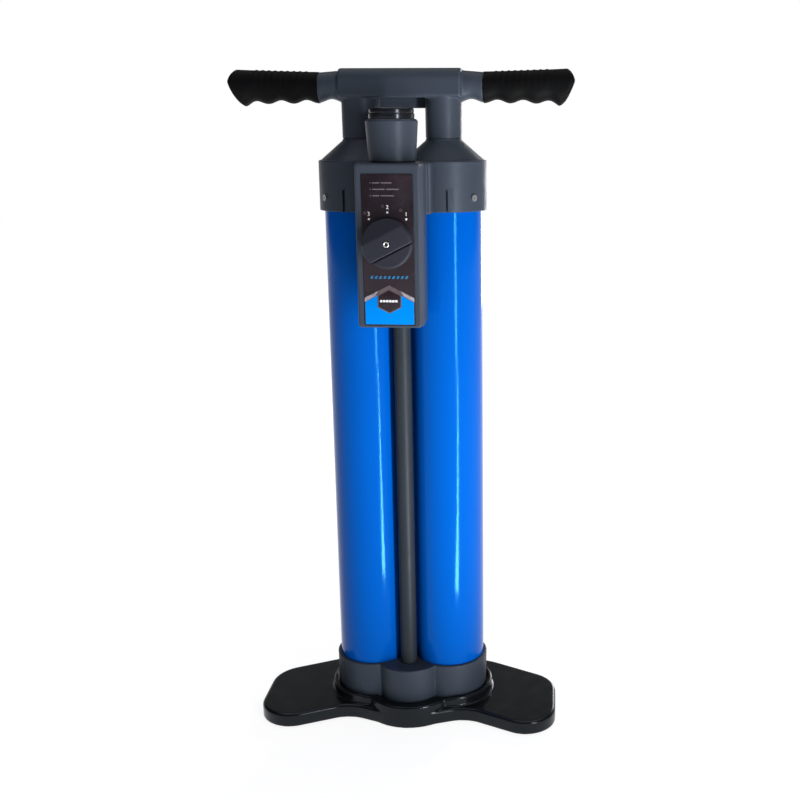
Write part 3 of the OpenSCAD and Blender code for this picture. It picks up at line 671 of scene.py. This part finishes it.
# ---------------------------------------------------------------- head
def build_head():
    """Two collars with a cone and a neck each, joined by a bridge, and a wiper round each rod."""
    collars = []
    for side in SIDES:
        profile = rounded([
            (0, HEAD_Z0, 0), (COLLAR_R, HEAD_Z0, 0.7), (COLLAR_R - 0.1, SHOULDER_Z, 1.5),
            (COLLAR_R - 2.6, SHOULDER_Z + 0.3, 0.8), (NECK_R + 0.5, NECK_Z - 1.8, 1.0),
            (NECK_R, NECK_Z, 0.25), (0, NECK_Z, 0)], closed=False)
        collars.append(lathe("collar", fine(profile), side * AXIS_X, 0, 160))
    head = prism("bridge", rectangle(-30, 30, -43, 30, 1), HEAD_Z0, SHOULDER_Z, top=1.0, bottom=0.7)
    boolean(head, collars, "UNION")
    tools = []
    for side in SIDES:
        x = side * AXIS_X
        tools.append(upright("well", TUBE_R + FIT, HEAD_Z0 - 5, TUBE_Z1, x, 0, 160))
        tools.append(upright("bore", 13.05, NECK_Z - 22, NECK_Z + 5, x, 0, 64))
        slit = block("slit", (-1.3, -50, HEAD_Z0 - 5), (1.3, -TUBE_R - 1.2, HEAD_Z0 + 21))
        flat = block("flat", (1.2, -50, HEAD_Z0 - 5), (10.5, -COLLAR_R + 0.55, HEAD_Z0 + 23))
        for tool in (slit, flat):
            turn(tool, math.radians(SLOT_A[side]))
            tools.append(shift(tool, x))
        for a in (-24, 0, 24):
            vent = upright("vent", 1.6, SHOULDER_Z - 6, NECK_Z, 0, 25, 24)
            turn(vent, math.radians(a))
            tools.append(shift(vent, x))
    tools.append(upright("well", PIPE_R + FIT, HEAD_Z0 - 5, HEAD_Z0 + 20, 0, PIPE_Y, 64))
    boolean(head, tools, "DIFFERENCE")
    shade(head, 30)
    finish_piece(head, GREY, "housing", "grey_plastic", "head_cap")
    # a wiper on each rod fills the gap between the neck and the handle's sleeve
    low, top, inner, outer = NECK_Z - 1.5, SLEEVE_Z0 - 0.08, 9.15, 16.8
    lip = rounded([(inner, low, 0.1), (12.9, low, 0.1), (12.9, NECK_Z - 0.2, 0), (outer, NECK_Z + 0.02, 0),
                   (outer, top, 0.1), (inner, top, 0.1)])
    for side, word in SIDES.items():
        wiper = lathe(f"{word}_rod_wiper", lip, side * AXIS_X, 0, 96, closed=True)
        shade(wiper)
        finish_piece(wiper, SEAL, "housing", "seal_rubber")


# ---------------------------------------------------------------- valve housing
def build_housing():
    """The box that carries the label, and the deeper block that joins it to the head."""
    base = even(rectangle(-BOX_HW, BOX_HW, BOX_Z0, SHOULDER_Z, 3), 1.2)
    middle = (BOX_Z0 + SHOULDER_Z) / 2
    # the front is a box that narrows from a ridge a little behind its face: (y, less width, less height)
    ridge, edge = BOX_FRONT + 11.5, 1.5
    steps = [(BOX_STEP_Y + 1, 0.9, 0), (ridge + 0.7, 0.05, 0), (ridge, 0, 0), (ridge - 0.7, 0.12, 0)]
    steps += [(BOX_FRONT + drop, 1.6 + depth, 0.4 + depth) for depth, drop in edge_steps(edge)]
    loops = []
    for y, slim, short in steps:
        x = base[:, 0] * (1 - slim / BOX_HW)
        z = middle + (base[:, 1] - middle) * (1 - short / (SHOULDER_Z - middle))
        loops.append(np.column_stack([x, np.full(len(base), y), z]))
    rear = rounded([(-SHOULDER_HW, BOX_STEP_Y - 1, 2.5), (SHOULDER_HW, BOX_STEP_Y - 1, 2.5),
                    (SHOULDER_HW, BOX_REAR, 0.8), (-SHOULDER_HW, BOX_REAR, 0.8)])
    housing = join("valve_housing", [
        loft("front", loops), prism("rear", rear, HEAD_Z0, SHOULDER_Z, top=1.8, bottom=1.2, spacing=1.2)])
    mould(housing, 0.6, 1)
    tools = [
        block("well", (label_low[0] - 0.5, BOX_FRONT - 5, label_low[2] - 0.5),
              (label_high[0] + 0.5, BOX_FRONT + 0.35, label_high[2] + 0.5)),
        block("hollow", (-BOX_HW + 3, BOX_FRONT + 6, BOX_Z0 + 3), (BOX_HW - 3, BOX_STEP_Y + 5, HEAD_Z0 - 2)),
    ]
    boolean(housing, tools, "DIFFERENCE")
    shade(housing, 50)
    finish_piece(housing, GREY, "housing", "grey_plastic", "control_box")


def build_turret():
    """The outlet's tapered turret and the black bayonet ring of its socket."""
    r, top = TURRET_R, TURRET_Z1
    shell = rounded([(0, TURRET_Z0, 0), (r - 2.2, TURRET_Z0, 0.4), (r, top - 2.0, 0.9), (r - 1.7, top, 0.6),
                     (20.3, top, 0.4), (19.9, top - 12, 0), (0, top - 12, 0)], closed=False)
    turret = lathe("turret", fine(shell), 0, OUTLET_Y, 128)
    shade(turret)
    finish_piece(turret, GREY, "housing", "grey_plastic", "outlet_turret")
    wall = rounded([
        (16, top - 12, 0.3), (19.4, top - 12, 0.3), (19.4, top - 0.2, 0.3), (21.0, top + 0.2, 0.3),
        (21.2, top + 4.6, 0.8), (20.2, top + 5.2, 0.4), (20.7, top + 5.9, 0.6), (20.7, SOCKET_TOP, 3.0),
        (16, SOCKET_TOP, 1.3)])
    ring = lathe("socket_ring", wall, 0, OUTLET_Y, 128, closed=True)
    notches = []
    for y in (OUTLET_Y - 17, OUTLET_Y + 17):
        notches.append(block("notch", (-3, y - 2, top - 4), (3, y + 2, SOCKET_TOP + 40)))
    boolean(ring, notches, "DIFFERENCE")
    shade(ring)
    finish_piece(ring, SOCKET, "housing", "socket_black", "outlet_socket_ring")


# ---------------------------------------------------------------- label
# number, x, height of its dot, height of its digit
DIAL_MARKS = ((3, -17.0, 536.6, 540.4), (2, 0.0, 542.6, 546.6), (1, 17.0, 536.6, 540.4))
HEXAGON_Z, HEXAGON_RX, HEXAGON_RZ = 461.8, 11.6, 10.3


def add_mark(name, outline, mat, lift=0.0, thick=0.08, bevel=0.03, spacing=0.5):
    """A thin mark drawn in (x, height), lift above the label's face."""
    piece = prism(name, outline, 0, thick, top=bevel, spacing=spacing)
    face_front(piece)
    shift(piece, y=LABEL_Y - lift)
    finish_piece(piece, mat, "housing", "label_film")


def settle_text(obj):
    """Turns a text object into a mesh object of the same name."""
    graph = bpy.context.evaluated_depsgraph_get()
    mesh = bpy.data.meshes.new_from_object(obj.evaluated_get(graph))
    name = obj.name
    bpy.data.objects.remove(obj)
    made = bpy.data.objects.new(name, mesh)
    bpy.context.collection.objects.link(made)
    return made


def build_label_ground():
    """The film, its blue field, the pale bands over the field and the dark hexagon in the middle."""
    low, high = label_low, label_high
    outline = rectangle(low[0], high[0], low[2], high[2], 1.2)
    base = prism("label_base", outline, 0, 0.6, top=0.12, spacing=0.8)
    face_front(base)
    shift(base, y=BOX_FRONT + 0.02)
    finish_piece(base, LABEL, "housing", "label_film", "label_plate")
    edge, field_top = 0.8, low[2] + 21.6
    field = [(low[0] + edge, low[2] + edge, 0.8), (high[0] - edge, low[2] + edge, 0.8),
             (high[0] - edge, field_top, 0), (0, field_top + 12.4, 0), (low[0] + edge, field_top, 0)]
    ground = {"thick": 0.10, "bevel": 0.1, "spacing": 0.8}
    add_mark("label_field", rounded(field), LABEL_BLUE, **ground)
    for side, word in SIDES.items():
        band = [(side * 23.0, field_top - 0.4, 0), (side * 23.0, field_top + 3.6, 0),
                (0, field_top + 15.6, 0), (0, field_top + 12.0, 0)]
        add_mark(f"label_band_{word}", rounded(band), LABEL_BROWN, lift=0.1, **ground)
        tip = [(side * 23.0, field_top + 0.2, 0), (side * 23.0, field_top + 3.9, 0),
               (side * 10.5, field_top + 10.2, 0), (side * 13.0, field_top + 5.9, 0)]
        add_mark(f"label_tip_{word}", rounded(tip), LABEL_SILVER, lift=0.16, **ground)
    for name, grow, lift, mat in (("label_hexagon", 1.0, 0.22, LABEL),
                                  ("label_hexagon_edge", 1.1, 0.2, LABEL_BROWN)):
        hexagon = [(HEXAGON_RX * grow * math.sin(a), HEXAGON_Z + HEXAGON_RZ * grow * math.cos(a), 0.5)
                   for a in (math.radians(60 * k) for k in range(6))]
        add_mark(name, rounded(hexagon), mat, lift=lift, thick=0.14, bevel=0.1, spacing=0.8)


def build_label_marks():
    """The dial's digits and dots, and the dashes and ticks that stand where the maker printed words."""
    for number, x, z, _ in DIAL_MARKS:
        dot = [(x + math.cos(a), z + math.sin(a), 0) for a in (math.radians(20 * k) for k in range(18))]
        add_mark(f"label_dot_{number}", rounded(dot), LABEL_WHITE, thick=0.12, bevel=0.05, spacing=0.3)
    gap = 1.3
    for row, dashes in enumerate(((0.9, 6.4, 9.8), (0.9, 11.2, 11.4), (0.9, 6.0, 12.2))):
        x, z = -15.4, 568.8 - 5.7 * row
        for k, length in enumerate(dashes):
            add_mark(f"label_dash_{row}_{k}", rectangle(x, x + length, z - 0.5, z + 0.5, 0), LABEL_SOFT)
            x += length + gap
    for k in range(9):
        x, z0, z1 = -16 + 4 * k, 482.6, 485.2
        slash = [(x - 1.3, z0, 0), (x + 0.7, z0, 0), (x + 1.9, z1, 0), (x - 0.1, z1, 0)]
        add_mark(f"label_slash_{k}", rounded(slash), LABEL_CYAN)
    for number, x, z in ((3, -20.6, 542.0), (2, -4.2, 548.2), (1, 12.0, 544.6)):
        add_mark(f"label_patch_{number}", rectangle(x - 1.4, x + 1.4, z - 1.5, z + 1.5, 0.4), LABEL_FAINT)
    for k in range(6):
        x = -7.6 + 2.8 * k
        add_mark(f"label_tick_{k}", rectangle(x - 1.1, x + 1.1, 461.0, 463.0, 0), LABEL_WHITE, lift=0.37,
                 spacing=0.4)
    for number, x, _, z in DIAL_MARKS:
        text = bpy.data.curves.new(f"digit_{number}", "FONT")
        text.body = str(number)
        text.size = 5.2 * MM
        text.extrude = 0.06 * MM
        text.align_x = "CENTER"
        digit = bpy.data.objects.new(f"label_digit_{number}", text)
        bpy.context.collection.objects.link(digit)
        digit = settle_text(digit)
        digit.data.transform(Matrix.Rotation(math.radians(90), 4, "X"))
        shift(digit, x, LABEL_Y - 0.06, z - 1.0)
        finish_piece(digit, LABEL_WHITE, "housing", "label_film")


# ---------------------------------------------------------------- selector
def front_lathe(name, profile, y, segments=48):
    """A profile turned about the selector's axis, its heights running to the front from y."""
    return shift(face_front(lathe(name, profile, segments=segments)), y=y, z=KNOB_Z)


def build_knob():
    """A round dial with a slanting grip bar across it."""
    skirt_h, bar_h, low_x = 7.0, 6.1, -8.9
    skirt_y = KNOB_BACK - skirt_h
    base = rounded([(0, 0, 0), (KNOB_R, 0, 0.5), (KNOB_R, 5.2, 0.8), (KNOB_R - 1.6, skirt_h, 0.9),
                    (0, skirt_h, 0)], closed=False)
    dial = front_lathe("dial", base, KNOB_BACK, 128)
    # the grip bar's section: a steep lower flank, a flat top, and a long slope to the upper rim
    flank = rounded([(low_x, 0, 0), (low_x + 0.5, bar_h, 0.7), (8.6, bar_h, 4.0), (KNOB_R, 1.0, 0),
                     (KNOB_R, 0, 0)])
    bar = face_right(prism("bar", flank, -KNOB_R, KNOB_R, top=0, spacing=0.8))
    trim_r = KNOB_R - 0.2
    trim = lathe("trim", [(0, -2), (trim_r, -2), (trim_r, 4.6), (trim_r - 1.1, 6.4), (0, 6.4)], segments=128)
    boolean(bar, [trim], "INTERSECT")
    # a narrow groove at the foot of the lower flank gives it its dark edge
    groove = block("groove", (1.5 - KNOB_R, low_x - 1.3, -3.0), (KNOB_R + 3, low_x + 0.2, 2.5))
    for piece, lift in ((bar, 0.1), (groove, 0.0)):
        turn(piece, POINTER_A)
        face_front(piece)
        shift(piece, y=skirt_y + lift, z=KNOB_Z)
    knob = join("knob", [dial, bar])
    mould(knob, 0.45, 1)
    well = front_lathe("well", [(0, 0), (3.6, 0), (3.6, 5), (0, 5)], KNOB_FRONT + 2.2, 32)
    boolean(knob, [well, groove], "DIFFERENCE")
    shade(knob, 50)
    finish_piece(knob, KNOB, "selector", "grey_plastic", "selector_knob")


def build_selector_screw():
    """The screw in the middle of the knob, with a dark floor in its recess that is painted shade."""
    y = KNOB_FRONT + 2.0
    profile = rounded([(0, -6, 0), (1.5, -6, 0), (1.5, 0, 0), (3.1, 0, 0.2), (3.0, 1.8, 0.9), (1.5, 1.7, 0.5),
                       (1.35, 0.6, 0), (0, 0.6, 0)], closed=False)
    head = shade(front_lathe("selector_screw_head", profile, y))
    finish_piece(head, STEEL, "selector", "steel", "selector_screw")
    # a thin dark disc at the bottom of the screw's recess: painted shade for the deep hollow
    floor = [(0, 0.55), (1.33, 0.55), (1.33, 0.7), (0, 0.7)]
    recess = shade(front_lathe("selector_screw_recess_painted_shade", floor, y))
    finish_piece(recess, SEAL, "selector", "seal_rubber")


# ---------------------------------------------------------------- handle
GRIP_LOW_Z, GRIP_HIGH_Z, GRIP_HD = 641.6, 669.4, 14.8
GRIP_END = 5.0  # the length over which its end closes
BUMP_X0, BUMP = 81.0, 25.0  # the first finger bump, and from each one to the next
RIB = 6.1  # from each rib on top to the next
LEAN_Z = 660.0  # the height at which the end reaches furthest out


def clamp(value):
    """The value, kept between 0 and 1."""
    return min(1.0, max(0.0, value))


def grip_loop(x, slim=0.0, count=96):
    """The hand grip's section at a distance x from the middle: an upright oval with a wavy underside."""
    start, from_end = x - GRIP_X0, GRIP_X1 - x
    along = start / (GRIP_X1 - GRIP_X0)
    bump = 1.65 * math.cos(2 * math.pi * (x - BUMP_X0) / BUMP)
    outer = clamp((x - BUMP_X0) / BUMP - 2)
    low = GRIP_LOW_Z - 1.0 * along - bump - 1.8 * outer * outer
    high = GRIP_HIGH_Z + 2.6 * max(0.0, along) ** 1.3 - 7.0 * min(0.0, along)
    close = math.sqrt(1 - clamp(1 - from_end / GRIP_END) ** 2.2)
    size = 0.72 + 0.28 * close
    rib = 0.5 * max(0.0, math.cos(2 * math.pi * start / RIB)) if 8 < start < 66 else 0.0
    middle, half = (low + high) / 2, (high - low) / 2 - slim
    points = []
    for k in range(count):
        a = 2 * math.pi * k / count
        c, s = math.cos(a), math.sin(a)
        grow = size * (1 + rib * max(0.0, s + 0.15) / 15)
        y = (GRIP_HD - slim) * math.copysign(abs(c) ** 0.9, c) * grow
        z = middle + half * math.copysign(abs(s) ** 0.9, s) * grow
        # the end face leans: it is drawn back a little above and more below
        back = 5.5 * max(0.0, (z - LEAN_Z) / 12) ** 1.6 + 9.0 * max(0.0, (LEAN_Z - z) / 20) ** 1.2
        near = clamp(1 - from_end / 25) ** 2
        points.append((x - back * near, y, z))
    return np.array(points)


def mirrored(obj, side):
    """Flips a piece that was drawn for the right over to the left."""
    if side == LEFT:
        obj.data.transform(Matrix.Scale(-1, 4, (1, 0, 0)))
        obj.data.flip_normals()
    return obj


def build_handle():
    """The casing, an arm into each grip, two sleeves over the rods and the web between them."""
    hd, top = CASING_HD, HANDLE_TOP
    section = rounded([(-hd, CASING_Z0, 2.5), (hd, CASING_Z0, 2.5), (hd - 0.8, top, 10.5),
                       (-hd + 0.8, top, 10.5)])
    casing = prism("casing", section, -CASING_HL, CASING_HL, top=2.0, bottom=2.0, spacing=1.4)
    parts = [face_right(casing)]
    for side in SIDES:
        loops = [grip_loop(x, slim=0.5) for x in np.linspace(CASING_HL - 3, GRIP_X0, 20)]
        parts.append(mirrored(loft("arm", loops), side))
    parts.append(block("web", (-AXIS_X, WEB_Y0, WEB_Z0), (AXIS_X, WEB_Y1, CASING_Z0 + 3)))
    # each sleeve starts a little too low, so that moulding it leaves a crisp rim when it is trimmed
    low, high = SLEEVE_Z0 - 4, CASING_Z0 + 4
    for side in SIDES:
        sleeve = [(0, low), (SLEEVE_LOW_R, low), (SLEEVE_TOP_R, high), (0, high)]
        parts.append(lathe("sleeve", sleeve, side * AXIS_X, 0, 128))
    handle = join("handle", parts)
    mould(handle, 0.8, 3)
    tools = [upright("bore", 9.1, low - 1, CASING_Z0 - 0.4, side * AXIS_X, 0, 64) for side in SIDES]
    tools.append(block("trim", (-70, -30, SLEEVE_Z0 - 10), (70, 30, SLEEVE_Z0)))
    boolean(handle, tools, "DIFFERENCE")
    shade(handle, 50)
    finish_piece(handle, GREY, "handle", "grey_plastic", "handle_body")


def build_grips():
    """The rubber grips, from their inner end to a closed outer end."""
    body = np.arange(GRIP_X0 + 0.3, GRIP_X1 - GRIP_END, 0.6)
    end = GRIP_X1 - GRIP_END * (1 - np.sin(np.linspace(0, math.pi / 2, 10)))
    for side, word in SIDES.items():
        loops = [grip_loop(x) for x in (*body, *end)]
        face = loops[-1].mean(axis=0)
        loops += [face + (loops[-1] - face) * k + (0.25 * (1 - k), 0, 0) for k in (0.8, 0.5, 0.2)]
        grip = mirrored(loft(f"{word}_rubber_grip", loops), side)
        shade(grip, 60)
        finish_piece(grip, RUBBER, "handle", "grip_rubber", f"{word}_grip")


# ---------------------------------------------------------------- CAD nodes that keep their shape
def dress_cad_nodes():
    """Gives every CAD node the material of its slot."""
    looks = {
        "grey_plastic": GREY, "black_plastic": BLACK, "blue_tube": BLUE, "grip_rubber": RUBBER,
        "seal_rubber": SEAL, "steel": STEEL, "rod_chrome": CHROME, "bearing_plastic": BEARING,
        "label_film": LABEL, "socket_black": SOCKET,
    }
    for part in frame["record"]["subparts"]:
        obj = frame["nodes"][part["node"]]
        obj.data.materials.clear()
        obj.data.materials.append(looks[part["material_slot"]])


build_camera()
build_floor()
build_world()
build_lamps()
dress_cad_nodes()
build_foot()
build_manifold()
build_tubes()
build_head()
build_housing()
build_turret()
build_label_ground()
build_label_marks()
build_knob()
build_selector_screw()
build_handle()
build_grips()
